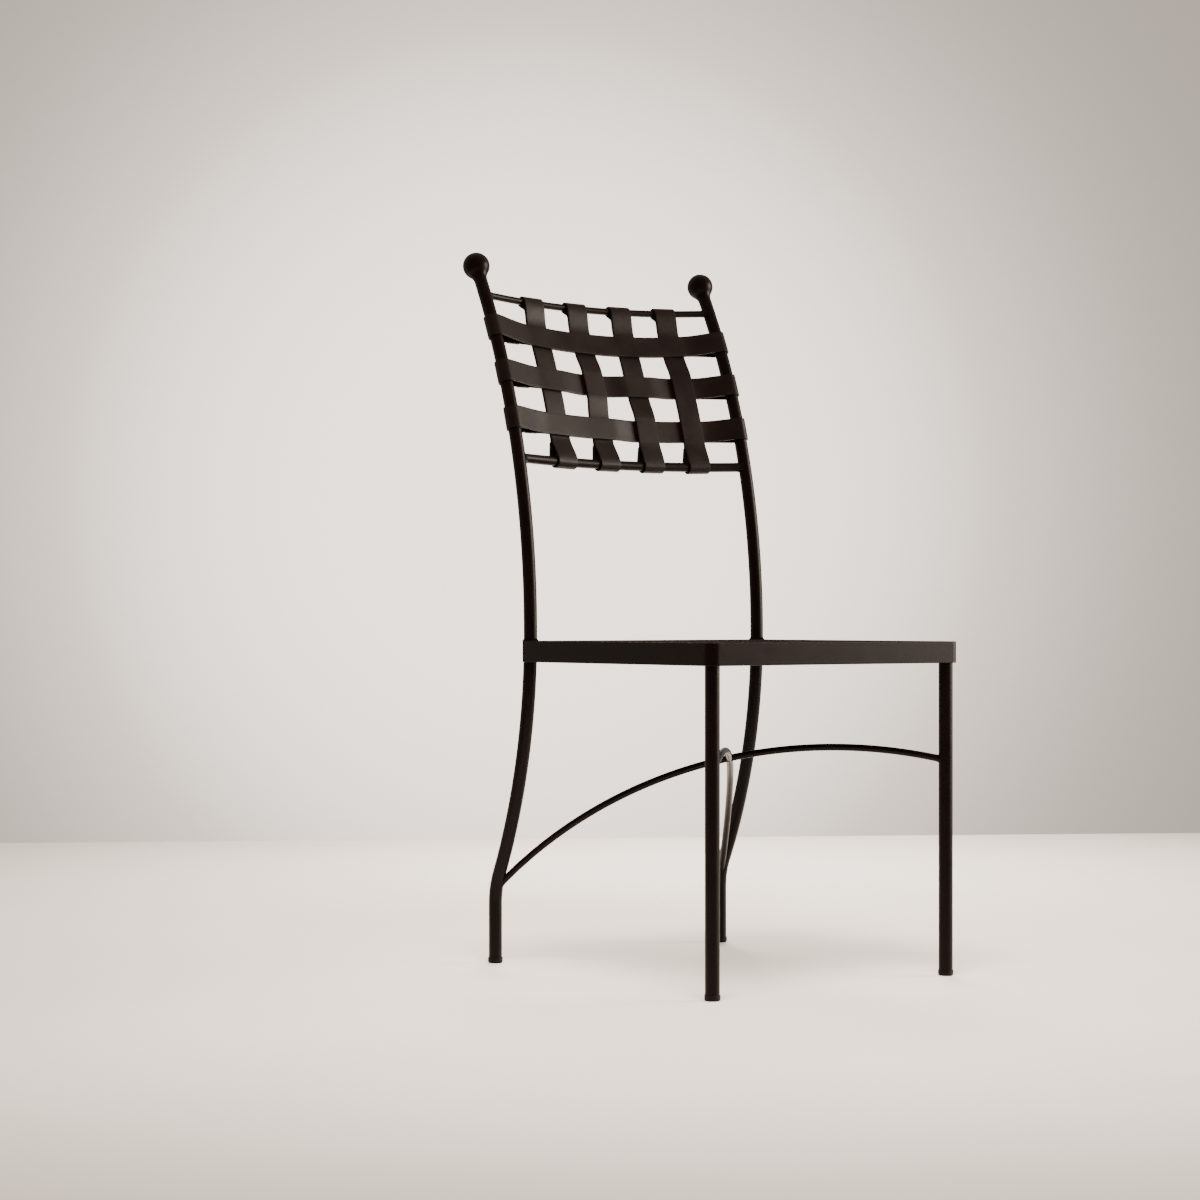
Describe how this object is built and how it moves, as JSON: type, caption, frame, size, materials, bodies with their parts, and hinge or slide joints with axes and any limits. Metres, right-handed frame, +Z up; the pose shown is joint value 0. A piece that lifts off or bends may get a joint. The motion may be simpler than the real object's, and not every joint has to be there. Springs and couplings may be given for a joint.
{
  "type": "side chair",
  "caption": "Rigid side chair with a welded bent-tube frame, square seat, ball finials, crossed arched stretchers and a back woven from flat straps.",
  "frame": {"origin": "on the floor, under the middle of the overall box", "axes": "+X towards the sitter's left, +Y from the front edge to the back, +Z up"},
  "size_m": [0.445, 0.556, 0.9967],
  "materials": {
    "frame": "satin dark brown",
    "seat": "satin dark brown",
    "strap": "smooth, low sheen, dark brown",
    "glide": "matte black",
    "rivet": "darkened"
  },
  "bodies": {
    "root": {"rear_post_left": "frame", "rear_post_right": "frame", "finial_left": "frame", "finial_right": "frame", "front_leg_left": "frame", "front_leg_right": "frame", "glide_front_left": "glide", "glide_front_right": "glide", "glide_rear_left": "glide", "glide_rear_right": "glide", "seat_band": "seat", "rear_seat_rail": "seat", "seat_deck": "seat", "back_top_rail": "frame", "back_bottom_rail": "frame", "stretcher_whole": "frame", "stretcher_halved": "frame", "upright_strap_1": "strap", "upright_strap_2": "strap", "upright_strap_3": "strap", "upright_strap_4": "strap", "level_strap_1": "strap", "level_strap_2": "strap", "level_strap_3": "strap", "strap_rivets": "rivet"}
  },
  "joints": []
}
